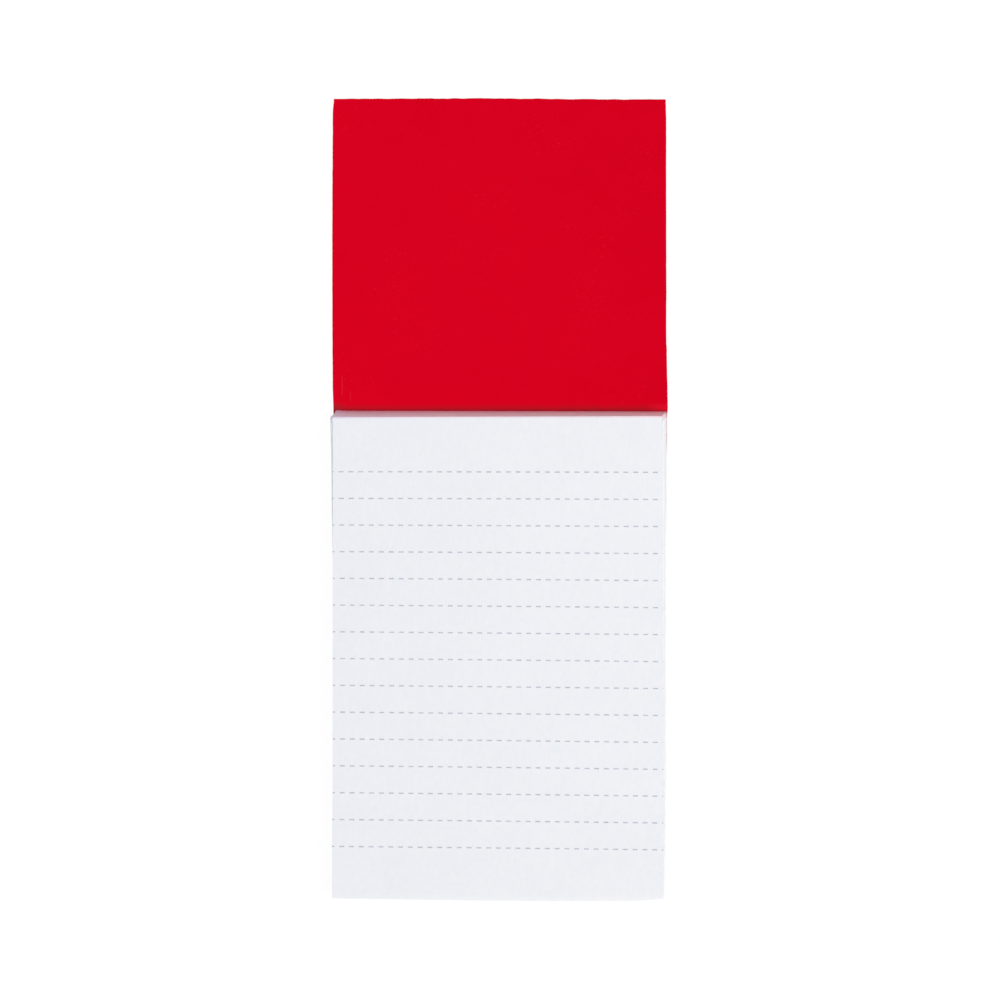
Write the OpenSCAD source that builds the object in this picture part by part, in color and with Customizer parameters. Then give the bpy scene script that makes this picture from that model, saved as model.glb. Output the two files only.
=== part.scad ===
// Magnetic notepad, lying on its magnetic back.
// The board is a flexible magnet sheet with a coloured film on its face.
// A block of ruled tear-off sheets is taped to the lower part of the board, and its
// head end is gummed. The stack leans toward the foot and a little to the left, so
// that the gummed ends and the right edges of the sheets can be seen from the front
// and the top sheet reaches past the foot of the board.
// Origin: on the back of the board, half-way across the board and half-way between the
// header's end and the foot of the top sheet. +Y runs from the foot to the header,
// +X to the right, +Z out of the face.

/* [Board] */
// Width of the magnetic board
board_w = 75; // [50:1:120]
// Bare length of board above the gummed sheets
header_l = 70.2; // [15:0.1:120]
// Thickness of the magnet sheet
magnet_t = 0.6; // [0.4:0.1:2]
// Thickness of the face film
film_t = 0.1; // [0.05:0.05:0.3]
// Radius of the board's die-cut corners
corner_r = 0.4; // [0.2:0.1:3]

/* [Sheets] */
// Number of sheets in the block
sheet_count = 40; // [10:1:100]
// Thickness of one sheet
sheet_t = 0.1; // [0.06:0.01:0.15]
// Board left bare beside the last sheet, on the left
left_gap = 0.9; // [0:0.1:5]
// Board left bare beside the last sheet, on the right
right_gap = 0.1; // [0:0.1:5]
// How far the top sheet has slipped toward the foot
foot_lean = 1.2; // [0:0.1:4]
// How far the top sheet has slipped toward the left
side_lean = 0.7; // [0:0.1:4]

/* [Binding] */
// Thickness of the gum on the head ends of the sheets, along the board
gum_t = 0.3; // [0.1:0.05:1]
// Thickness of the double-sided tape under the block
tape_t = 0.1; // [0.05:0.05:0.5]
// Margin between the tape and the edges of the last sheet
tape_margin = 3; // [0.5:0.5:10]

/* [Ruling] */
// Number of ruled lines
line_count = 15; // [5:1:30]
// Distance from one ruled line to the next
line_pitch = 6; // [4:0.5:12]
// Blank margin above the first line
head_margin = 12; // [5:0.1:30]
// Blank margin below the last line
foot_margin = 11.8; // [5:0.1:30]
// Distance from the start of one dash to the start of the next
dash_pitch = 2.18; // [1.5:0.01:5]
// Length of one dash
dash_l = 1.05; // [0.5:0.01:1.4]
// Thickness of a ruled line across the page
rule_w = 0.25; // [0.15:0.05:0.6]
// Thickness of the printed ink
ink_t = 0.02; // [0.01:0.01:0.05]

/* [Hidden] */
$fn = 48;

// Levels, from the back of the board to the face of the top sheet
film_z = magnet_t;
tape_z = film_z + film_t;
block_z = tape_z + tape_t;
top_z = block_z + sheet_count * sheet_t;

// Outlines of one sheet and of the board, which end flush at the foot of the last sheet
sheet_w = board_w - left_gap - right_gap;
sheet_l = head_margin + (line_count - 1) * line_pitch + foot_margin;
board_l = header_l + gum_t + sheet_l;

// Places of the last sheet's edges
foot_y = (foot_lean - board_l) / 2;
head_y = foot_y + sheet_l;
left_x = left_gap - board_w / 2;
right_x = left_x + sheet_w;

// Flat plate with round corners, with the middle of its foot edge at the origin
module board_plate(thickness) {
    linear_extrude(thickness) {
        translate([-board_w / 2, corner_r])
            square([board_w, board_l - 2 * corner_r]);
        translate([-board_w / 2 + corner_r, 0])
            square([board_w - 2 * corner_r, board_l]);
        for (side = [-1, 1], y = [corner_r, board_l - corner_r])
            translate([side * (board_w / 2 - corner_r), y])
                circle(r = corner_r);
    }
}

// Outline of one side of the leaning stack, between two edges of its last sheet
module slanted_side(low, high, lean) {
    polygon([
        [low, block_z],
        [high, block_z],
        [high - lean, top_z],
        [low - lean, top_z]
    ]);
}

// Part of the leaning stack between two places along the board: what its side view
// and its end view have in common
module leaning_stack(near_y, far_y) {
    intersection() {
        translate([-board_w, 0, 0])
            rotate([90, 0, 90])
                linear_extrude(2 * board_w)
                    slanted_side(near_y, far_y, foot_lean);
        translate([0, board_l, 0])
            rotate([90, 0, 0])
                linear_extrude(2 * board_l)
                    slanted_side(left_x, right_x, side_lean);
    }
}

module magnet_sheet() {
    color([0.16, 0.14, 0.13])
        translate([0, foot_y, 0])
            board_plate(magnet_t);
}

module face_film() {
    color([0.84, 0.0, 0.12])
        translate([0, foot_y, film_z])
            board_plate(film_t);
}

module fixing_tape() {
    color([0.9, 0.88, 0.8])
        translate([left_x + tape_margin, foot_y + tape_margin, tape_z])
            cube([sheet_w - 2 * tape_margin, sheet_l - 2 * tape_margin, tape_t]);
}

module page_block() {
    color([0.94, 0.95, 0.97])
        leaning_stack(foot_y, head_y);
}

// A coat of gum that follows the slant of the sheets' head ends
module gum_binding() {
    color([0.85, 0.8, 0.81])
        leaning_stack(head_y, head_y + gum_t);
}

// One broken line, from the left edge of a sheet. The first dash straddles that edge,
// and the print is cut off at both edges.
module ruled_line() {
    dash_count = ceil((sheet_w + dash_l / 2) / dash_pitch);
    for (i = [0 : dash_count - 1]) {
        start = max(0, i * dash_pitch - dash_l / 2);
        end = min(sheet_w, i * dash_pitch + dash_l / 2);
        translate([start, -rule_w / 2])
            square([end - start, rule_w]);
    }
}

module ruling() {
    color([0.78, 0.77, 0.82])
        translate([left_x - side_lean, head_y - foot_lean - head_margin, top_z])
            linear_extrude(ink_t)
                for (k = [0 : line_count - 1])
                    translate([0, -k * line_pitch])
                        ruled_line();
}

magnet_sheet();
face_film();
fixing_tape();
page_block();
gum_binding();
ruling();
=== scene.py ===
"""Dresses the magnetic notepad: a red-faced magnetic board and a gummed block of ruled sheets.

Every length is in metres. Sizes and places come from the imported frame. What is named here are
the small ways in which the real pad departs from its true shape: edges that wander, sheets
that don't lie quite on each other, and print that isn't quite square to the paper.
"""

import math
import random
from types import SimpleNamespace

import bmesh
import bpy
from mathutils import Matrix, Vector, noise


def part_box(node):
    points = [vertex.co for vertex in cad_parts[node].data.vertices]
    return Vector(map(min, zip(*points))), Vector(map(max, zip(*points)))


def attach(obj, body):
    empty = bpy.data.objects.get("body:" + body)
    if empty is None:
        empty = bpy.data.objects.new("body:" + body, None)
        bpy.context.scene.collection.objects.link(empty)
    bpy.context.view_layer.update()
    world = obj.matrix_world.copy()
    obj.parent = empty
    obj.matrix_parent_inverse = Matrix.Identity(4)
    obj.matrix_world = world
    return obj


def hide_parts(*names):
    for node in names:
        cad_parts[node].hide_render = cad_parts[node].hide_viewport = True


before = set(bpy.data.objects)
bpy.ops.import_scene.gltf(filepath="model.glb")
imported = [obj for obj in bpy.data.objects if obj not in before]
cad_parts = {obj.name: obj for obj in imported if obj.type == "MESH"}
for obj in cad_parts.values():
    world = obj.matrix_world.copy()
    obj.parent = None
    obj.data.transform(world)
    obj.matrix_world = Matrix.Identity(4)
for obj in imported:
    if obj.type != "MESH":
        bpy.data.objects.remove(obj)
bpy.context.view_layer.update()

MM = 0.001
BODY = "root"
SEED = 17

# The board: how its cut edges depart from straight lines
EDGE_STEP = 0.6 * MM
EDGE_WANDER = 0.025 * MM
EDGE_WAVE = 9 * MM
EDGE_NICK = 0.03 * MM
NICK_WAVE = 1.1 * MM
LEFT_OUT = 0.036 * MM
LEFT_BOW = 0.12 * MM
LEFT_BOW_PLACE = 54 * MM
LEFT_BOW_REACH = 31 * MM
LEFT_BOW_MOST = 1.3
LEFT_CORNER_IN = 0.20 * MM
LEFT_CORNER_REACH = 3 * MM
LEFT_NIP = 0.12 * MM
LEFT_NIP_PLACE = 25 * MM
LEFT_NIP_REACH = 5 * MM
RIGHT_IN = 0.01 * MM
RIGHT_FLARE = 0.22 * MM
RIGHT_FLARE_PLACE = 34 * MM
RIGHT_FLARE_REACH = 14 * MM
RIGHT_STEP = 0.10 * MM
RIGHT_STEP_PLACE = 34.8 * MM
RIGHT_BURR = 0.06 * MM
RIGHT_BURR_PLACE = 46.5 * MM
RIGHT_BURR_REACH = 3 * MM
RIGHT_CORNER_IN = 0.12 * MM
RIGHT_CORNER_REACH = 6 * MM
PEEK = 0.09 * MM
PEEK_END = 14 * MM
PEEK_FADE = 9 * MM
TUCK = 0.06 * MM
FOOT_TUCK = 0.04 * MM
HEADER_CROWN = 0.14 * MM
HEADER_CROWN_PLACE = -9 * MM
HEADER_CROWN_REACH = 22 * MM
HEADER_RISE = 0.02 * MM
HEADER_FALL = 0.08 * MM
HEADER_FALL_PLACE = 6 * MM
HEADER_FALL_REACH = 20 * MM
HEADER_NICK = 0.11 * MM
HEADER_NICK_WAVE = 1.9 * MM
FILM_SHORT = 0.02 * MM
FILM_SIDE_SHORT = 0.004 * MM
FILM_ROUND = 0.02 * MM

# The film's colours. Stops here and below are pairs of a share of the way and a level.
RED = (0.700, 0.0002, 0.0136)
RED_SHEEN = (1.0, 0.04, 0.06, 1)
RED_SPECK = (0.76, 0.010, 0.030, 1)
# Painted shade: the film's red is darkened a little toward the right
RED_PAINTED_SHADE_ACROSS = ((0.0, 1.0), (0.55, 0.985), (1.0, 0.955))

# The film close to the stack's head: a faint painted shade, a painted contact shadow, a deeper
# painted shadow at the left corner and painted light at the right, where the shadow thins out
SHADE_REACH = 14 * MM
SHADE_STOPS = ((0.0, 0.96), (0.3, 0.972), (1.0, 1.0))
CONTACT_SHADOW_REACH = 2.1 * MM
CONTACT_SHADOW_STOPS = ((0.0, 1.0), (0.16, 0.88), (0.37, 0.60), (0.59, 0.32), (0.75, 0.14), (1.0, 0.0))
CONTACT_SHADOW_RED = (0.33, 0.010, 0.018, 1)
# Painted shadow, deeper at the film's left corner beside the stack
LEFT_SHADOW_ACROSS = 3.2 * MM
LEFT_SHADOW_ALONG = 2.8 * MM
LEFT_SHADOW_STOPS = ((0.0, 1.0), (0.36, 0.70), (0.68, 0.24), (1.0, 0.0))
LEFT_SHADOW_RED = (0.30, 0.018, 0.024, 1)
# Painted light at the film's right corner beside the stack, where the painted shadow thins out
RIGHT_LIGHT_ACROSS = 4.5 * MM
RIGHT_LIGHT_STOPS = ((0.0, 0.3), (0.16, 0.5), (0.37, 0.76), (0.6, 0.7), (0.72, 0.55), (1.0, 0.0))
RIGHT_LIGHT_RED = (0.78, 0.004, 0.024, 1)

# Fine light rubs down the film: the x of each, and where it starts and ends
RUB_WIDTH = 0.22 * MM
RUBS = ((-35.34 * MM, 22.5 * MM, 28.1 * MM), (-33.43 * MM, 21.6 * MM, 24.3 * MM))
RUB_STOPS = ((0.0, 0.0), (0.2, 0.3), (0.8, 0.3), (1.0, 0.0))
RUB_RED = (0.76, 0.030, 0.045, 1)

# The stack of sheets
SHEET_COUNT = 40
SHEET_FILL = 0.90
SHEET_JITTER = 0.04 * MM
SHEET_WANDER = 0.02 * MM
SHEET_WAVE = 14 * MM
STEPS_ACROSS = 40
STEPS_ALONG = 60
LEAN_CURVE = 1.2
TOP_LEFT_IN = 0.11 * MM
TOP_RIGHT_IN = 0.15 * MM
TOP_HEAD_IN = 0.09 * MM
BASE_LEFT_OUT = 0.12 * MM
BASE_RIGHT_OUT = -0.06 * MM
BASE_HEAD_OUT = 0.21 * MM
BASE_HEAD_START = 0.18
BASE_HEAD_END = 0.28
BASE_SIDE_HUMP = 0.10 * MM
BASE_SIDE_PLACE = 0.17
BASE_SIDE_REACH = 0.06
BULGE = 0.44 * MM
BULGE_LEVEL = 0.90
BULGE_CURVE = 4.5
BULGE_REACH = 0.44
BULGE_TIP = 0.20 * MM
BULGE_TIP_REACH = 0.09
FOOT_LEFT_OUT = 0.14 * MM
FOOT_LEFT_START = 0.74
FOOT_LEFT_END = 0.90
HEAD_TILT = 0.26 * MM
BASE_TILT = 0.14 * MM
HEAD_FLARE = 0.15 * MM
HEAD_FLARE_REACH = 0.035
FOOT_OUT = 0.05 * MM
FOOT_BOW = 0.32 * MM
FOOT_BOW_CURVE = 1.6
FOOT_BOW_PLACE = 0.77
FOOT_CORNER = 0.44 * MM
FOOT_CORNER_START = 0.86
FOOT_SIDE = 0.36 * MM
FOOT_SIDE_START = 0.78
TOP_RIPPLE = 0.04 * MM
TOP_RIPPLE_WAVE = 38 * MM

# The paper: its tint, and what the tint is multiplied by at the left edge and half-way,
# a painted shade that darkens the paper toward the left
STACK_TINT = (0.97, 0.965, 0.975)
STACK_SHADE_WEST = (0.92, 0.958, 0.975)
STACK_SHADE_MIDDLE = (0.94, 0.94, 0.94)
STACK_LAYERS = 0.12
TOP_TINT = (0.878, 0.872, 0.906)
TOP_SHADE_WEST = (0.988, 0.996, 1.0)
TOP_SHADE_MIDDLE = (0.994, 0.998, 1.0)
# A painted highlight whitens the top sheet just at its foot, over this reach
TOP_FOOT_HIGHLIGHT = 0.28
FOOT_HIGHLIGHT_REACH = 1.6 * MM
FLECK_GREY = (0.55, 0.56, 0.60, 1)

# The gum on the head ends
GUM_STEPS = 240
GUM_WRAP_STEPS = 6
GUM_LEVELS = 16
GUM_AT_BASE = 1.46
GUM_AT_TOP = 0.70
GUM_INSIDE = 0.03 * MM
GUM_WRAP = 1.1 * MM
GUM_WRAP_SHARE = 0.8
GUM_WRAP_WAVE = 0.2
GUM_WRAP_WANDER = 0.7
GUM_SIDE = 0.05 * MM
GUM_THINNING = 0.8
GUM_ROUND = 0.07 * MM
GUM_RIPPLE = 0.04 * MM
GUM_RIPPLE_WAVE = 2.2 * MM

# The gum's colours, from the left corner to the right one, and from the board up: painted light and
# shade over the pale gum, with painted red reflection from the board and painted shade near its
# base
# Painted light and shade across the gum: darker at both corners, lilac at the left, pinker to the
# right
GUM_PAINTED_LIGHT_ACROSS = (
    (0.0, (0.74, 0.76, 0.86)),
    (0.008, (0.90, 0.80, 0.98)),
    (0.06, (0.92, 0.83, 0.96)),
    (0.3, (0.98, 0.87, 0.97)),
    (0.6, (0.98, 0.87, 0.96)),
    (0.88, (0.98, 0.82, 0.89)),
    (0.97, (1.0, 0.73, 0.79)),
    (0.988, (1.0, 0.69, 0.75)),
    (0.993, (0.84, 0.66, 0.72)),
    (1.0, (0.74, 0.55, 0.60)),
)
GUM_PAINTED_LIGHT_UP = (
    (0.0, (1.0, 0.53, 0.62)),
    (0.15, (0.98, 0.60, 0.67)),
    (0.35, (0.93, 0.75, 0.79)),
    (0.6, (0.965, 0.91, 0.91)),
    (1.0, (1.0, 1.0, 1.0)),
)

# The print
LINE_COUNT = 15
LINE_PITCH = 6 * MM
DASH_PITCH = 2.18 * MM
DASH_LENGTH = 1.10 * MM
RULE_WIDTH = 0.27 * MM
DASH_JITTER = 0.02 * MM
DASH_BEVEL = 0.12
DASH_END = 0.32
INK = (0.505, 0.505, 0.580)
LINE_SHIFT = 0.03 * MM
LINE_SQUEEZE = 0.05 * MM
LINE_FALL = 0.36 * MM
LINE_FAN = 0.16 * MM
LINE_TAPER = 0.13 * MM
LINE_SAG = 0.03 * MM
COLUMN_SHIFT = 0.24 * MM
COLUMN_BOW = 0.20 * MM
COLUMN_FAN = 0.08 * MM
COLUMN_SPREAD = 0.02 * MM
COLUMN_TAPER = 0.08 * MM
COLUMN_SAG = 0.08 * MM

# The camera and the lamps
VIEW_WIDTH = 224.57 * MM
LENS_MM = 100
SENSOR_MM = 36
AIM_X = 0.145 * MM
AIM_Y = -0.30 * MM
LAMP_DISTANCE = 1.10
LAMP_LENGTH = 0.80
LAMP_WIDTH = 0.45
LAMP_ELEVATION = 50
LAMP_TURN_TO_FOOT = 4
LAMP_AIM_Y = 0.35
LAMP_SPREAD_GAIN = 1.15
RIGHT_SHARE = 0.46
LEFT_SHARE = 0.26
WORLD_LEVEL = 0.28
FLOOR_GLOW = 1.04
FLOOR_GLOW_SHARE = 0.90
FLOOR_SIZE = 24.0
FLOOR_DROP = 0.02 * MM
FLOOR_GREY = (0.85, 0.85, 0.85, 1)


def smooth(x):
    """Eased step from 0 to 1."""
    x = min(1.0, max(0.0, x))
    return x * x * (3 - 2 * x)


def eased(place, start, end):
    """Eased step from 0 at the start to 1 at the end."""
    return smooth((place - start) / (end - start))


def between(low, high, share):
    """The value at a share of the way from low to high."""
    return low + (high - low) * share


def hump(place, centre, reach):
    """Rounded rise to 1 at a centre."""
    return math.exp(-(((place - centre) / reach) ** 2))


def drift(place, wave, size, lane):
    """Smooth wander of about the given size along a place, different in each lane."""
    return size * noise.noise(Vector((place / wave, lane * 7.31 + SEED, lane * 3.17)))


def read_plan():
    """The sizes and places that the dressing needs, from the CAD pieces."""
    core_low, core_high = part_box("magnet_sheet")
    film_low, film_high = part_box("face_film")
    block_low, block_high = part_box("page_block")
    gum_low, gum_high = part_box("gum_binding")
    print_low, print_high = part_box("ruling")
    plan = SimpleNamespace(core_z=(core_low.z, core_high.z), film_z=(film_low.z, film_high.z))
    plan.board_x = (film_low.x, film_high.x)
    plan.board_y = (film_low.y, film_high.y)
    plan.block_x = (block_low.x, block_high.x)
    plan.block_y = (block_low.y, block_high.y)
    plan.block_z = (block_low.z, block_high.z)
    plan.sheet_w = print_high.x - print_low.x
    plan.side_lean = block_high.x - print_high.x
    plan.foot_lean = film_low.y - block_low.y
    plan.gum = gum_high.y - block_high.y
    plan.top_x = (block_low.x, block_low.x + plan.sheet_w)
    plan.top_y = (block_low.y, block_high.y - plan.foot_lean)
    plan.ink = print_high.z - print_low.z
    plan.first_line = print_high.y - RULE_WIDTH / 2
    plan.print_x = print_low.x
    return plan


plan = read_plan()


def make_piece(name, vertices, faces, material, slot, replaced=(), is_smooth=False):
    """A closed mesh piece that rides on the pad."""
    mesh = bpy.data.meshes.new(name)
    mesh.from_pydata(vertices, [], faces)
    tidy = bmesh.new()
    tidy.from_mesh(mesh)
    bmesh.ops.recalc_face_normals(tidy, faces=tidy.faces)
    tidy.to_mesh(mesh)
    tidy.free()
    mesh.polygons.foreach_set("use_smooth", [is_smooth] * len(mesh.polygons))
    mesh.materials.append(material)
    piece = bpy.data.objects.new(name, mesh)
    bpy.context.scene.collection.objects.link(piece)
    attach(piece, BODY)
    if replaced:
        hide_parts(*replaced)
    return piece


# Materials


class Shade:
    """A node material, built one named node at a time."""

    def __init__(self, name, roughness, specular):
        self.material = bpy.data.materials.new(name)
        self.material.use_nodes = True
        self.nodes = self.material.node_tree.nodes
        self.links = self.material.node_tree.links
        self.shader = self.nodes["Principled BSDF"]
        self.shader.inputs["Roughness"].default_value = roughness
        self.shader.inputs["Specular IOR Level"].default_value = specular
        self.place = self.nodes.new("ShaderNodeTexCoord").outputs["Object"]

    def link(self, source, target):
        self.links.new(source, target)

    def stretched(self, scale):
        """Object coordinates, multiplied by a scale for each axis."""
        mapping = self.nodes.new("ShaderNodeMapping")
        mapping.inputs["Scale"].default_value = scale
        self.link(self.place, mapping.inputs["Vector"])
        return mapping.outputs["Vector"]

    def noise(self, scale, detail=3.0, roughness=0.5, vector=None):
        node = self.nodes.new("ShaderNodeTexNoise")
        node.inputs["Scale"].default_value = scale
        node.inputs["Detail"].default_value = detail
        node.inputs["Roughness"].default_value = roughness
        self.link(vector or self.place, node.inputs["Vector"])
        return node.outputs["Fac"]

    def along(self, axis, low, high):
        """From 0 to 1 between two places along an axis of the pad."""
        parts = self.nodes.new("ShaderNodeSeparateXYZ")
        self.link(self.place, parts.inputs[0])
        node = self.nodes.new("ShaderNodeMapRange")
        node.inputs["From Min"].default_value = low
        node.inputs["From Max"].default_value = high
        self.link(parts.outputs[axis], node.inputs["Value"])
        return node.outputs["Result"]

    def product(self, first, second):
        node = self.nodes.new("ShaderNodeMath")
        node.operation = "MULTIPLY"
        self.link(first, node.inputs[0])
        self.link(second, node.inputs[1])
        return node.outputs[0]

    def ramp(self, source, stops):
        """Colours or greys at the given places of a value."""
        node = self.nodes.new("ShaderNodeValToRGB")
        ramp = node.color_ramp
        while len(ramp.elements) < len(stops):
            ramp.elements.new(0.5)
        for element, (where, colour) in zip(ramp.elements, stops):
            element.position = where
            element.color = (*colour, 1)
        self.link(source, node.inputs["Fac"])
        return node.outputs["Color"]

    def fade(self, axis, low, high, stops):
        """Greys at the given shares of the way between two places along an axis of the pad."""
        greys = tuple((where, grey(level)) for where, level in stops)
        return self.ramp(self.along(axis, low, high), greys)

    def blend(self, kind, share, first, second):
        """Blends two colours. The share may be a number or a node's output."""
        node = self.nodes.new("ShaderNodeMix")
        node.data_type = "RGBA"
        node.blend_type = kind
        values = {0: share, 6: first, 7: second}
        for number, value in values.items():
            socket = node.inputs[number]
            if isinstance(value, bpy.types.NodeSocket):
                self.link(value, socket)
            else:
                socket.default_value = value
        return node.outputs[2]

    def bump(self, source, distance, strength=1.0):
        node = self.nodes.new("ShaderNodeBump")
        node.inputs["Distance"].default_value = distance
        node.inputs["Strength"].default_value = strength
        self.link(source, node.inputs["Height"])
        if self.shader.inputs["Normal"].links:
            self.link(self.shader.inputs["Normal"].links[0].from_socket, node.inputs["Normal"])
        self.link(node.outputs["Normal"], self.shader.inputs["Normal"])

    def colour(self, source):
        self.link(source, self.shader.inputs["Base Color"])


def grey(level):
    return (level, level, level)


def mottled(shade, colour, scale, depth, detail=4.0, vector=None):
    """A colour that varies by a small share around itself."""
    dark = tuple(c * (1 - depth) for c in colour)
    light = tuple(min(1.0, c * (1 + depth)) for c in colour)
    return shade.ramp(shade.noise(scale, detail, vector=vector), ((0.3, dark), (0.7, light)))


def film_body(shade):
    """The film's red, with painted shade that darkens it a little to the right, a faint cloud, a
    grain and specks.
    """
    toned = mottled(shade, RED, 26, 0.016)
    toned = shade.blend("MULTIPLY", 1.0, toned, shade.fade("X", *plan.board_x, RED_PAINTED_SHADE_ACROSS))
    patches = shade.ramp(shade.noise(150, 3.0), ((0.38, grey(0.985)), (0.60, grey(1.0))))
    toned = shade.blend("MULTIPLY", 1.0, toned, patches)
    grain = shade.ramp(shade.noise(1100, 2.0), ((0.30, grey(0.978)), (0.70, grey(1.0))))
    toned = shade.blend("MULTIPLY", 1.0, toned, grain)
    specks = shade.ramp(shade.noise(2300, 1.0), ((0.66, grey(0.0)), (0.74, grey(0.5))))
    clusters = shade.ramp(shade.noise(70, 2.0), ((0.48, grey(0.0)), (0.60, grey(1.0))))
    return shade.blend("MIX", shade.product(specks, clusters), toned, RED_SPECK)


def with_rubs(shade, toned):
    """The film's colour with the fine light rubs on it."""
    for x, start, end in RUBS:
        sides = ((0.0, 0.0), (0.5, 1.0), (1.0, 0.0))
        across = shade.fade("X", x - RUB_WIDTH, x + RUB_WIDTH, sides)
        along = shade.fade("Y", start, end, RUB_STOPS)
        toned = shade.blend("MIX", shade.product(across, along), toned, RUB_RED)
    return toned


def beside_stack(shade, toned):
    """The film's colour with painted shade and shadow along the stack's head, and painted light at
    its right end.
    """
    wall = plan.block_y[1] + plan.gum
    west, east = plan.board_x
    # Painted shade over the film, deepening toward the stack's head
    shadow = shade.fade("Y", wall, wall + SHADE_REACH, SHADE_STOPS)
    toned = shade.blend("MULTIPLY", 1.0, toned, shadow)
    # Painted contact shadow, a little uneven, in a narrow band along the stack's head
    contact_shadow = shade.fade("Y", wall, wall + CONTACT_SHADOW_REACH, CONTACT_SHADOW_STOPS)
    uneven = shade.ramp(shade.noise(260, 3.0), ((0.3, grey(0.75)), (0.7, grey(1.0))))
    toned = shade.blend("MIX", shade.product(contact_shadow, uneven), toned, CONTACT_SHADOW_RED)
    # Painted shadow, deeper at the film's left corner beside the stack
    across = shade.fade("X", west, west + LEFT_SHADOW_ACROSS, ((0.0, 1.0), (1.0, 0.0)))
    along = shade.fade("Y", wall, wall + LEFT_SHADOW_ALONG, LEFT_SHADOW_STOPS)
    toned = shade.blend("MIX", shade.product(across, along), toned, LEFT_SHADOW_RED)
    # Painted light at the right corner beside the stack, where the painted shadow thins out
    across = shade.fade("X", east - RIGHT_LIGHT_ACROSS, east, ((0.0, 0.0), (1.0, 1.0)))
    along = shade.fade("Y", wall, wall + CONTACT_SHADOW_REACH, RIGHT_LIGHT_STOPS)
    return shade.blend("MIX", shade.product(across, along), toned, RIGHT_LIGHT_RED)


def film_material():
    """Red vinyl film: a satin skin, clean but for light rubs, with painted shade and shadow along
    the stack.
    """
    shade = Shade("red_film", roughness=0.38, specular=0.16)
    shade.shader.inputs["Specular Tint"].default_value = RED_SHEEN
    shade.colour(beside_stack(shade, with_rubs(shade, film_body(shade))))
    shade.bump(shade.noise(1400, 2.0), 0.008 * MM, 0.5)
    shade.bump(shade.noise(120, 2.0), 0.05 * MM, 0.35)
    return shade.material


def core_material():
    """Flexible magnet: dark brown-black ferrite compound, matt, with faint roller streaks."""
    shade = Shade("magnet_core", roughness=0.72, specular=0.30)
    body = mottled(shade, (0.030, 0.026, 0.023), 160, 0.22)
    streaks = shade.noise(700, 3.0, vector=shade.stretched((1, 0.04, 1)))
    worn = shade.ramp(streaks, ((0.3, grey(0.75)), (0.7, grey(1.0))))
    shade.colour(shade.blend("MULTIPLY", 0.5, body, worn))
    shade.bump(streaks, 0.010 * MM, 0.5)
    shade.bump(shade.noise(3200, 2.0), 0.012 * MM, 0.6)
    return shade.material


def paper_material(name, tint, west, middle, layers=0.0, foot=0.0):
    """Uncoated writing paper: bluish white, with the faint cloud and grain of its fibres.

    West and middle are what the tint is multiplied by at the left edge and half-way, a painted
    shade that darkens the paper toward the left. Layers is how much some sheets of a stack are
    darker than others, and foot how much a painted highlight whitens a sheet just at its foot.
    """
    shade = Shade(name, roughness=0.85, specular=0.12)
    cloud = mottled(shade, tint, 95, 0.007)
    grain = shade.noise(1400, 4.0, roughness=0.6, vector=shade.stretched((1, 0.5, 1)))
    fibre = shade.ramp(grain, ((0.28, (0.954, 0.968, 0.976)), (0.72, (1.0, 1.0, 1.0))))
    toned = shade.blend("MULTIPLY", 1.0, cloud, fibre)
    patches = shade.noise(620, 3.0, vector=shade.stretched((1, 0.5, 1)))
    cooler = shade.ramp(patches, ((0.36, (0.976, 0.995, 1.0)), (0.62, grey(1.0))))
    toned = shade.blend("MULTIPLY", 1.0, toned, cooler)
    if layers:
        pile = shade.noise(1.0, 2.0, vector=shade.stretched((9, 9, 2600)))
        darker = shade.ramp(pile, ((0.36, grey(1 - layers)), (0.56, grey(1.0))))
        toned = shade.blend("MULTIPLY", 1.0, toned, darker)
    # Painted shade: the paper darkens toward its left edge
    stops = ((0.0, west), (0.5, middle), (1.0, grey(1.0)))
    across = shade.ramp(shade.along("X", *plan.board_x), stops)
    toned = shade.blend("MULTIPLY", 1.0, toned, across)
    # Painted highlight along the sheet's foot edge
    if foot:
        low, high = plan.top_y[0], plan.top_y[0] + FOOT_HIGHLIGHT_REACH
        edge = shade.fade("Y", low, high, ((0.0, foot), (1.0, 0.0)))
        toned = shade.blend("MIX", edge, toned, (1, 1, 1, 1))
    flecks = shade.ramp(shade.noise(1800, 0.0), ((0.87, grey(0.0)), (0.89, grey(0.30))))
    shade.colour(shade.blend("MIX", flecks, toned, FLECK_GREY))
    shade.bump(grain, 0.012 * MM, 0.4)
    return shade.material


def gum_material():
    """Dried padding gum: pale and slightly cloudy, with painted light and shade, lilac at the left,
    pinker to the right and redder near the board.
    """
    shade = Shade("padding_gum", roughness=0.42, specular=0.30)
    # Painted light and shade across the gum: darker at both corners, lilac at the left, pinker to
    # the right
    tint = shade.ramp(shade.along("X", *plan.block_x), GUM_PAINTED_LIGHT_ACROSS)
    cloud = shade.noise(420, 4.0, vector=shade.stretched((1, 1, 0.5)))
    cloudy = shade.ramp(cloud, ((0.3, grey(0.95)), (0.7, grey(1.0))))
    body = shade.blend("MULTIPLY", 1.0, tint, cloudy)
    # Painted red reflection from the board and painted shade, strongest at the gum's base
    painted_light_up = shade.ramp(shade.along("Z", *plan.block_z), GUM_PAINTED_LIGHT_UP)
    body = shade.blend("MULTIPLY", 1.0, body, painted_light_up)
    ends = shade.noise(2400, 2.0, vector=shade.stretched((0.06, 0.06, 1)))
    layered = shade.ramp(ends, ((0.3, grey(0.90)), (0.7, grey(1.0))))
    shade.colour(shade.blend("MULTIPLY", 0.6, body, layered))
    shade.bump(shade.noise(650, 3.0), 0.03 * MM, 0.5)
    return shade.material


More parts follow.
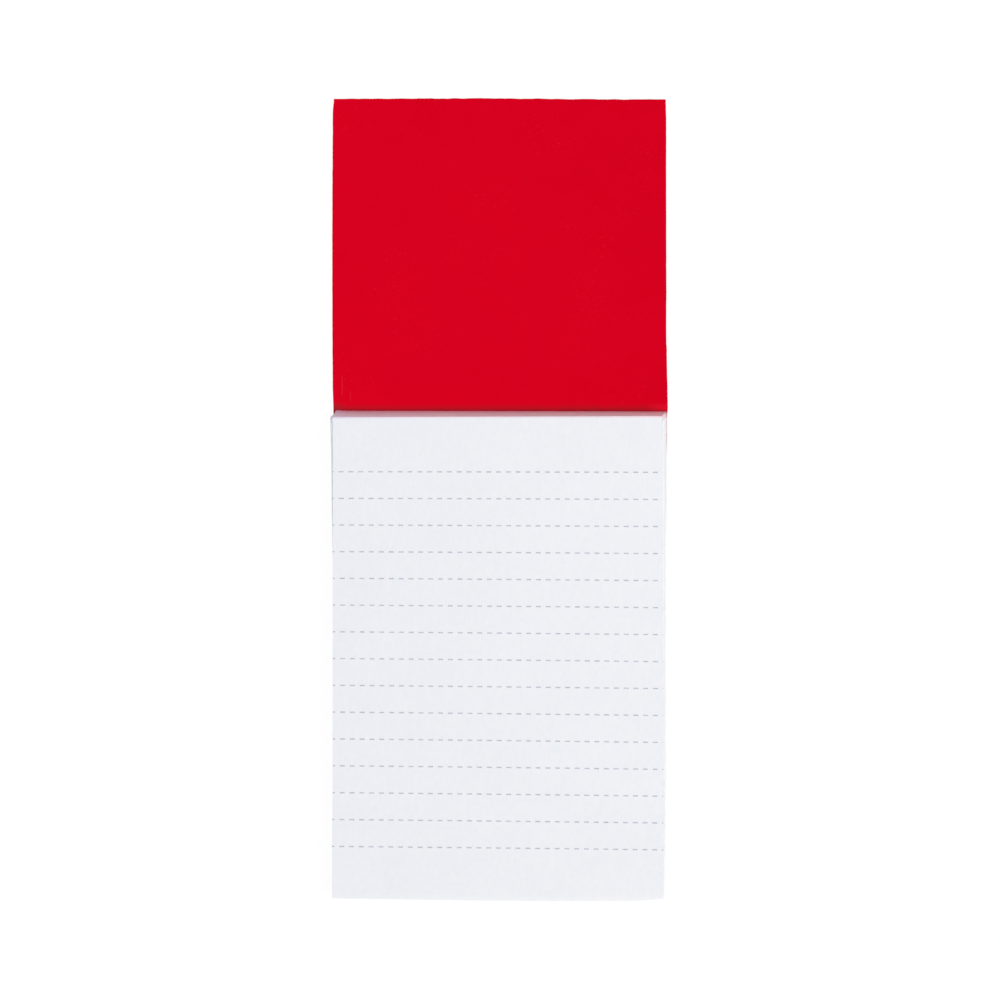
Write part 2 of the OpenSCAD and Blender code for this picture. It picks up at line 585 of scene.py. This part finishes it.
def ink_material():
    """Pale grey-violet litho ink, a little uneven from dash to dash."""
    shade = Shade("rule_ink", roughness=0.80, specular=0.12)
    body = mottled(shade, INK, 330, 0.07, detail=1.0)
    worn = shade.ramp(shade.noise(5200, 2.0), ((0.45, grey(1.0)), (0.80, grey(1.12))))
    shade.colour(shade.blend("MULTIPLY", 1.0, body, worn))
    return shade.material


def tape_material():
    """Double-sided tissue tape, hidden under the block."""
    shade = Shade("tissue_tape", roughness=0.6, specular=0.2)
    shade.colour(mottled(shade, (0.78, 0.75, 0.66), 600, 0.05))
    return shade.material


def floor_material():
    """A pale floor that shows white to the camera and keeps part of the pad's shadow."""
    material = bpy.data.materials.new("pale_floor")
    material.use_nodes = True
    nodes, links = material.node_tree.nodes, material.node_tree.links
    nodes.clear()
    output = nodes.new("ShaderNodeOutputMaterial")
    matt = nodes.new("ShaderNodeBsdfDiffuse")
    matt.inputs["Color"].default_value = FLOOR_GREY
    glow = nodes.new("ShaderNodeEmission")
    glow.inputs["Strength"].default_value = FLOOR_GLOW
    path = nodes.new("ShaderNodeLightPath")
    seen = nodes.new("ShaderNodeMath")
    seen.operation = "MAXIMUM"
    links.new(path.outputs["Is Camera Ray"], seen.inputs[0])
    links.new(path.outputs["Is Glossy Ray"], seen.inputs[1])
    also = nodes.new("ShaderNodeMath")
    also.operation = "MAXIMUM"
    links.new(seen.outputs[0], also.inputs[0])
    links.new(path.outputs["Is Transmission Ray"], also.inputs[1])
    share = nodes.new("ShaderNodeMath")
    share.operation = "MULTIPLY"
    share.inputs[1].default_value = FLOOR_GLOW_SHARE
    links.new(also.outputs[0], share.inputs[0])
    mix = nodes.new("ShaderNodeMixShader")
    links.new(share.outputs[0], mix.inputs[0])
    links.new(matt.outputs[0], mix.inputs[1])
    links.new(glow.outputs[0], mix.inputs[2])
    links.new(mix.outputs[0], output.inputs["Surface"])
    return material


# The board


def left_edge(y):
    """The x of the board's left edge."""
    bow = min(LEFT_BOW_MOST, ((y - LEFT_BOW_PLACE) / LEFT_BOW_REACH) ** 2)
    inward = LEFT_BOW * bow - LEFT_OUT
    inward += LEFT_CORNER_IN * smooth(1 - (plan.board_y[1] - y) / LEFT_CORNER_REACH)
    inward += LEFT_NIP * smooth((LEFT_NIP_PLACE - y) / LEFT_NIP_REACH)
    return plan.board_x[0] + inward + edge_wander(y, 1)


def right_edge(y):
    """The x of the board's right edge. Beside the block it keeps to the edge of the last sheet."""
    bare = plan.board_x[1] - RIGHT_IN
    bare += RIGHT_FLARE * smooth((RIGHT_FLARE_PLACE - y) / RIGHT_FLARE_REACH)
    bare += RIGHT_STEP * smooth((RIGHT_STEP_PLACE - y) / MM)
    bare += RIGHT_BURR * hump(y, RIGHT_BURR_PLACE, RIGHT_BURR_REACH)
    bare -= RIGHT_CORNER_IN * smooth(1 - (plan.board_y[1] - y) / RIGHT_CORNER_REACH)
    bare += edge_wander(y, 2)
    down = min(1.0, max(0.0, (plan.block_y[1] - y) / (plan.block_y[1] - plan.board_y[0])))
    peek = between(PEEK, -TUCK, smooth((PEEK_END - y) / PEEK_FADE))
    beside = sheet_sides(0, down)[1] + peek
    return between(bare, beside, smooth((plan.block_y[1] + MM - y) / (2 * MM)))


def foot_edge(x):
    """The y of the board's foot edge, which keeps just behind the last sheet's."""
    left, right = sheet_sides(0, 1)
    across = min(1.0, max(0.0, (x - left) / (right - left)))
    return sheet_ends(0, across)[1] + FOOT_TUCK + edge_wander(x, 5)


def header_edge(x):
    """The y of the board's header edge."""
    crown = HEADER_CROWN * hump(x, HEADER_CROWN_PLACE, HEADER_CROWN_REACH)
    fall = HEADER_FALL * smooth((x - HEADER_FALL_PLACE) / HEADER_FALL_REACH)
    nicks = drift(x, HEADER_NICK_WAVE, HEADER_NICK, 9)
    return plan.board_y[1] + HEADER_RISE + crown - fall + edge_wander(x, 6) + nicks


def edge_wander(place, lane):
    """The waver of a cut edge and its small nicks."""
    return drift(place, EDGE_WAVE, EDGE_WANDER, lane) + drift(place, NICK_WAVE, EDGE_NICK, lane + 2)


def board_outline(inset_sides, inset_ends):
    """The board's outline, anticlockwise from its left foot corner."""
    low_x, high_x = plan.board_x
    low_y, high_y = plan.board_y
    along = round((high_y - low_y) / EDGE_STEP)
    across = round((high_x - low_x) / EDGE_STEP)
    west, east = left_edge(low_y) + inset_sides, right_edge(low_y) - inset_sides
    points = []
    for i in range(across):
        x = between(west, east, i / across)
        points.append((x, foot_edge(x) + inset_ends))
    south, north = points[-1][1], header_edge(high_x) - inset_ends
    for i in range(along):
        y = between(south, north, i / along)
        points.append((right_edge(y) - inset_sides, y))
    west, east = left_edge(high_y) + inset_sides, right_edge(high_y) - inset_sides
    for i in range(across):
        x = between(east, west, i / across)
        points.append((x, header_edge(x) - inset_ends))
    south, north = points[0][1], header_edge(low_x) - inset_ends
    for i in range(along):
        y = between(north, south, i / along)
        points.append((left_edge(y) + inset_sides, y))
    return points


def prism(rings):
    """Vertices and faces of a closed solid whose outlines are stacked from low to high.

    Each ring is a list of (x, y, z) points, all rings with the same count.
    """
    count = len(rings[0])
    vertices = [point for ring in rings for point in ring]
    faces = [tuple(reversed(range(count)))]
    for level in range(len(rings) - 1):
        start = level * count
        for i in range(count):
            after = (i + 1) % count
            faces.append((start + i, start + after, start + count + after, start + count + i))
    top = (len(rings) - 1) * count
    faces.append(tuple(range(top, top + count)))
    return vertices, faces


def at_level(outline, z):
    return [(x, y, z) for x, y in outline]


def make_board():
    """The magnet sheet and the film on it, cut together but not quite to one line."""
    core = board_outline(0, 0)
    make_piece(
        "board_core",
        *prism([at_level(core, plan.core_z[0]), at_level(core, plan.core_z[1])]),
        core_material(),
        "magnet",
        replaced=("magnet_sheet",),
    )
    film = board_outline(FILM_SIDE_SHORT, FILM_SHORT)
    rounded = board_outline(FILM_SIDE_SHORT + FILM_ROUND, FILM_SHORT + FILM_ROUND)
    low_z, high_z = plan.film_z
    rings = [at_level(film, low_z), at_level(film, high_z - FILM_ROUND), at_level(rounded, high_z)]
    make_piece(
        "board_film",
        *prism(rings),
        film_material(),
        "red_film",
        replaced=("face_film",),
    )


# The sheets


def bulge_at(level, down):
    """How far a sheet's left edge sticks out at a share of the way down from the head."""
    if level < BULGE_LEVEL:
        share = (level / BULGE_LEVEL) ** BULGE_CURVE
    else:
        share = smooth((1 - level) / (1 - BULGE_LEVEL))
    length = BULGE * (1 - smooth(down / BULGE_REACH))
    length += BULGE_TIP * (1 - smooth(down / BULGE_TIP_REACH))
    return share * length


def sheet_sides(level, down):
    """The x of a sheet's left and right edges.

    Level runs from 0, the last sheet, to 1, the top one.
    """
    slip = plan.side_lean * (1 - level)
    left = plan.top_x[0] + slip + between(-BASE_LEFT_OUT, TOP_LEFT_IN, level)
    left -= bulge_at(level, down)
    left -= FOOT_LEFT_OUT * eased(down, FOOT_LEFT_START, FOOT_LEFT_END)
    near_head = 1 - eased(down, BASE_HEAD_START, BASE_HEAD_END)
    base_shift = BASE_RIGHT_OUT + BASE_HEAD_OUT * near_head
    base_shift += BASE_SIDE_HUMP * hump(down, BASE_SIDE_PLACE, BASE_SIDE_REACH)
    top_shift = -TOP_RIGHT_IN - TOP_HEAD_IN * near_head
    right = plan.top_x[1] + slip + between(base_shift, top_shift, level)
    past = max(0.0, (down - FOOT_SIDE_START) / (1 - FOOT_SIDE_START))
    right -= (1 - level) * FOOT_SIDE * past**2
    return left, right


def sheet_ends(level, across):
    """The y of a sheet's head and foot edges at a share of the way from left to right."""
    slip = plan.foot_lean * (1 - level**LEAN_CURVE)
    flare = HEAD_FLARE * (1 - level) * (1 - smooth(across / HEAD_FLARE_REACH))
    tilt = between(-BASE_TILT, HEAD_TILT, level) * (across - 0.5)
    head = plan.top_y[1] + slip + tilt + flare
    bow = FOOT_BOW * abs(2 * (across - FOOT_BOW_PLACE)) ** FOOT_BOW_CURVE
    corner = max(0.0, (across - FOOT_CORNER_START) / (1 - FOOT_CORNER_START))
    foot = plan.top_y[0] + slip + level * (bow - FOOT_OUT) + FOOT_CORNER * corner**3
    return head, foot


def on_sheet(level, across, down):
    """Where a place on a sheet lies, seen from above. Across and down run from 0 to 1."""
    left, right = sheet_sides(level, down)
    head, foot = sheet_ends(level, across)
    return between(left, right, across), between(head, foot, down)


def around(across, along):
    """Shares across and down for the points round a sheet.

    They run anticlockwise from its left head corner.
    """
    shares = [(0, i / along) for i in range(along)]
    shares += [(i / across, 1) for i in range(across)]
    shares += [(1, 1 - i / along) for i in range(along)]
    shares += [(1 - i / across, 0) for i in range(across)]
    return shares


def sheet_outline(level, lane):
    """The outline of one of the lower sheets, with its own small slip."""
    chance = random.Random(SEED * 1000 + lane)
    slip_x = chance.uniform(-SHEET_JITTER, SHEET_JITTER)
    slip_y = chance.uniform(-SHEET_JITTER, SHEET_JITTER)
    points = []
    for across, down in around(STEPS_ACROSS, STEPS_ALONG):
        x, y = on_sheet(level, across, down)
        x += slip_x + drift(y, SHEET_WAVE, SHEET_WANDER, 20 + lane)
        y += slip_y + drift(x, SHEET_WAVE, SHEET_WANDER, 70 + lane)
        points.append((x, y))
    return points


def make_lower_sheets(paper):
    """All sheets but the top one, each a thin closed slab with a hairline of air over it."""
    low_z, high_z = plan.block_z
    pitch = (high_z - low_z) / SHEET_COUNT
    vertices, faces = [], []
    for i in range(SHEET_COUNT - 1):
        outline = sheet_outline(i / (SHEET_COUNT - 1), i)
        bottom = low_z + i * pitch
        slab = prism([at_level(outline, bottom), at_level(outline, bottom + SHEET_FILL * pitch)])
        start = len(vertices)
        vertices += slab[0]
        faces += [tuple(start + corner for corner in face) for face in slab[1]]
    make_piece("lower_sheets", vertices, faces, paper, "paper", replaced=("page_block",))


def top_face(x, y):
    """The height of the top sheet's face, which lies in slight ripples."""
    lift = 0.5 + 0.5 * noise.noise(Vector((x, y, 0)) / TOP_RIPPLE_WAVE)
    return plan.block_z[1] - TOP_RIPPLE + TOP_RIPPLE * lift


def skin(outer, inner, rows, columns):
    """Faces of a closed sheet made of an outer and an inner grid of points, rim included."""
    count = rows * columns
    faces = []
    for j in range(rows - 1):
        for i in range(columns - 1):
            a = j * columns + i
            b = a + columns
            faces.append((a, a + 1, b + 1, b))
            faces.append((count + a, count + b, count + b + 1, count + a + 1))
    rim = list(range(columns - 1))
    rim += [j * columns + columns - 1 for j in range(rows - 1)]
    rim += [(rows - 1) * columns + i for i in range(columns - 1, 0, -1)]
    rim += [j * columns for j in range(rows - 1, 0, -1)]
    for here, after in zip(rim, rim[1:] + rim[:1]):
        faces.append((here, count + here, count + after, after))
    return outer + inner, faces


def make_top_sheet(paper):
    """The top sheet, with enough points to lie in slight ripples."""
    thick = SHEET_FILL * (plan.block_z[1] - plan.block_z[0]) / SHEET_COUNT
    upper, lower = [], []
    for j in range(STEPS_ALONG + 1):
        for i in range(STEPS_ACROSS + 1):
            x, y = on_sheet(1, i / STEPS_ACROSS, j / STEPS_ALONG)
            z = top_face(x, y)
            upper.append((x, y, z))
            lower.append((x, y, z - thick))
    make_piece("top_sheet", *skin(upper, lower, STEPS_ALONG + 1, STEPS_ACROSS + 1), paper, "paper")


# The gum


def gum_path(level):
    """Points of the gum's outer and inner faces at one level, from left to right.

    The coat runs across the head ends and laps a little way round both corners.
    """
    left, right = sheet_sides(level, 0)
    thick = plan.gum * between(GUM_AT_BASE, GUM_AT_TOP, level)
    outer, inner = [], []
    for i in range(GUM_STEPS + 1):
        share = i / GUM_STEPS
        x = between(left + GUM_ROUND, right - GUM_ROUND, share)
        head = sheet_ends(level, share)[0]
        ripple = drift(x, GUM_RIPPLE_WAVE, GUM_RIPPLE, 40 + 3 * level)
        outer.append((x, head + thick + ripple))
        inner.append((between(left + GUM_INSIDE, right - GUM_INSIDE, share), head - GUM_INSIDE))
    reach = GUM_WRAP * (GUM_WRAP_SHARE + drift(level, GUM_WRAP_WAVE, GUM_WRAP_WANDER, 60))
    for i in range(1, GUM_WRAP_STEPS + 1):
        back = reach * i / GUM_WRAP_STEPS
        thin = GUM_SIDE * (1 - GUM_THINNING * i / GUM_WRAP_STEPS)
        west, east = sheet_ends(level, 0)[0] - back, sheet_ends(level, 1)[0] - back
        outer.insert(0, (left - thin, west))
        inner.insert(0, (left + GUM_INSIDE, west))
        outer.append((right + thin, east))
        inner.append((right - GUM_INSIDE, east))
    return outer, inner


def make_gum():
    """The coat of gum, which follows the slanted head ends and is a little uneven."""
    outer, inner = [], []
    for j in range(GUM_LEVELS + 1):
        level = j / GUM_LEVELS
        z = between(*plan.block_z, level)
        outer_path, inner_path = gum_path(level)
        outer += at_level(outer_path, z)
        inner += at_level(inner_path, z)
    columns = GUM_STEPS + 1 + 2 * GUM_WRAP_STEPS
    mesh = skin(outer, inner, GUM_LEVELS + 1, columns)
    make_piece("gum_coat", *mesh, gum_material(), "gum", replaced=("gum_binding",), is_smooth=True)


# The print


def printed_place(run, line):
    """Where a point of the print lies: run is metres from the start of a line, line its number.

    The print's small skew and bow grow with how far right and how far down the point is, both
    from -1 to 1.
    """
    middle = (LINE_COUNT - 1) / 2
    east = 2 * run / plan.sheet_w - 1
    south = (line - middle) / middle
    x = plan.print_x + run + COLUMN_SHIFT - COLUMN_BOW * south * south
    x += COLUMN_SPREAD * east - COLUMN_FAN * east * south
    x += COLUMN_TAPER * east * south * south - COLUMN_SAG * east * east
    y = plan.first_line - line * LINE_PITCH - LINE_SHIFT - LINE_FALL * east
    y += LINE_SQUEEZE * south - LINE_FAN * east * south
    y += LINE_TAPER * east * south * south - LINE_SAG * east * east
    return x, y


def dash_solid(start, end, x, y, width, tilt):
    """A thin dash with cut corners that follows the top sheet."""
    bevel = DASH_BEVEL * width
    low_side = [(start, -DASH_END), (start + bevel, -0.5), (end - bevel, -0.5), (end, -DASH_END)]
    high_side = [(px, -side) for px, side in reversed(low_side)]
    outline = [(px, y + tilt * (px - x) + side * width) for px, side in low_side + high_side]
    base = [(px, py, top_face(px, py) - plan.ink / 2) for px, py in outline]
    face = [(px, py, top_face(px, py) + plan.ink / 2) for px, py in outline]
    return prism([base, face])


def make_ruling():
    """The broken lines: thin closed dashes that stop at the top sheet's edges."""
    chance = random.Random(SEED)
    foot, head = plan.top_y
    dash_count = math.ceil((plan.sheet_w + DASH_LENGTH / 2) / DASH_PITCH)
    vertices, faces = [], []
    for line in range(LINE_COUNT):
        tilt = -(LINE_FALL + LINE_FAN * (2 * line / (LINE_COUNT - 1) - 1)) * 2 / plan.sheet_w
        for i in range(dash_count):
            length = DASH_LENGTH + chance.uniform(-DASH_JITTER, DASH_JITTER)
            x, y = printed_place(i * DASH_PITCH, line)
            left, right = sheet_sides(1, (head - y) / (head - foot))
            start = max(left, x - length / 2)
            end = min(right, x + length / 2)
            if end <= start:
                continue
            width = RULE_WIDTH + chance.uniform(-DASH_JITTER, DASH_JITTER)
            dash = dash_solid(start, end, x, y, width, tilt)
            first = len(vertices)
            vertices += dash[0]
            faces += [tuple(first + corner for corner in side) for side in dash[1]]
    make_piece("ruled_dashes", vertices, faces, ink_material(), "ink", replaced=("ruling",))


# The stage


def make_floor():
    bpy.ops.mesh.primitive_plane_add(size=FLOOR_SIZE, location=(0, 0, -FLOOR_DROP))
    floor = bpy.context.object
    floor.name = "floor"
    floor.data.materials.append(floor_material())


def make_lamp(name, side, share):
    """A soft lamp beside the pad and a little toward its foot, aimed past the header."""
    elevation = math.radians(LAMP_ELEVATION)
    turn = math.radians(LAMP_TURN_TO_FOOT)
    flat = math.cos(elevation)
    direction = Vector((side * flat * math.cos(turn), -flat * math.sin(turn), math.sin(elevation)))
    data = bpy.data.lights.new(name, "AREA")
    data.shape = "RECTANGLE"
    data.size = LAMP_LENGTH
    data.size_y = LAMP_WIDTH
    data.energy = share * LAMP_SPREAD_GAIN * math.pi**2 * LAMP_DISTANCE**2 / direction.z
    lamp = bpy.data.objects.new(name, data)
    lamp.location = direction * LAMP_DISTANCE
    aim = Vector((0, LAMP_AIM_Y, 0))
    lamp.rotation_euler = (lamp.location - aim).to_track_quat("Z", "Y").to_euler()
    bpy.context.scene.collection.objects.link(lamp)


def make_world():
    world = bpy.data.worlds.new("soft_room")
    world.use_nodes = True
    background = world.node_tree.nodes["Background"]
    background.inputs["Color"].default_value = (1, 1, 1, 1)
    background.inputs["Strength"].default_value = WORLD_LEVEL
    bpy.context.scene.world = world


def make_camera():
    data = bpy.data.cameras.new("camera")
    data.lens = LENS_MM
    data.sensor_width = SENSOR_MM
    data.clip_start = 0.01
    camera = bpy.data.objects.new("camera", data)
    height = plan.film_z[1] + VIEW_WIDTH * LENS_MM / SENSOR_MM
    camera.location = (AIM_X, AIM_Y, height)
    bpy.context.scene.collection.objects.link(camera)
    bpy.context.scene.camera = camera


def main():
    make_board()
    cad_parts["fixing_tape"].data.materials.clear()
    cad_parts["fixing_tape"].data.materials.append(tape_material())
    make_lower_sheets(
        paper_material("stacked_paper", STACK_TINT, STACK_SHADE_WEST, STACK_SHADE_MIDDLE, layers=STACK_LAYERS)
    )
    make_top_sheet(
        paper_material("top_paper", TOP_TINT, TOP_SHADE_WEST, TOP_SHADE_MIDDLE, foot=TOP_FOOT_HIGHLIGHT)
    )
    make_gum()
    make_ruling()
    make_floor()
    make_lamp("right_lamp", 1, RIGHT_SHARE)
    make_lamp("left_lamp", -1, LEFT_SHARE)
    make_world()
    make_camera()
    bpy.context.scene.view_settings.view_transform = "Standard"


main()
